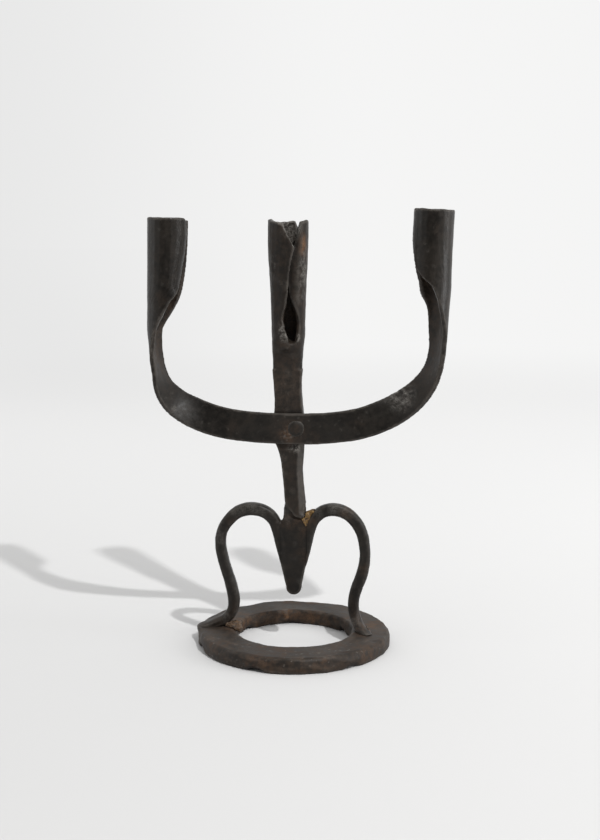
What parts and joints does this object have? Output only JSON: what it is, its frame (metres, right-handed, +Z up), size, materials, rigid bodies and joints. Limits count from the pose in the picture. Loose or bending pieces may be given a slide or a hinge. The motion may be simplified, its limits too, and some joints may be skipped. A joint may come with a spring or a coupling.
{
  "type": "candelabrum",
  "caption": "Hand-forged iron table candelabrum: flat ring base, two scroll legs meeting in a spade, a stem and a riveted U-shaped cross arm with rolled open candle sockets.",
  "frame": {"origin": "on the table, under the middle of the whole object's width and depth", "axes": "+X along the cross arm towards the right-hand socket, +Y to the back, +Z up"},
  "size_m": [0.208, 0.1394, 0.3031],
  "materials": {
    "black_iron": "hand-forged, blackened, hammer-marked, soft gloss with traces of brown rust",
    "rusted_iron": "hand-forged, blackened, with a thin coat of brown and orange rust",
    "braze": "rough, tarnished braze with orange rust"
  },
  "bodies": {
    "root": {"base_ring": "rusted_iron", "left_scroll": "black_iron", "right_scroll": "black_iron", "spade": "rusted_iron", "stem": "rusted_iron", "cross_arm": "black_iron", "arm_rivet": "black_iron", "stem_braze": "braze", "left_foot_braze": "braze", "right_foot_braze": "braze"}
  },
  "joints": []
}
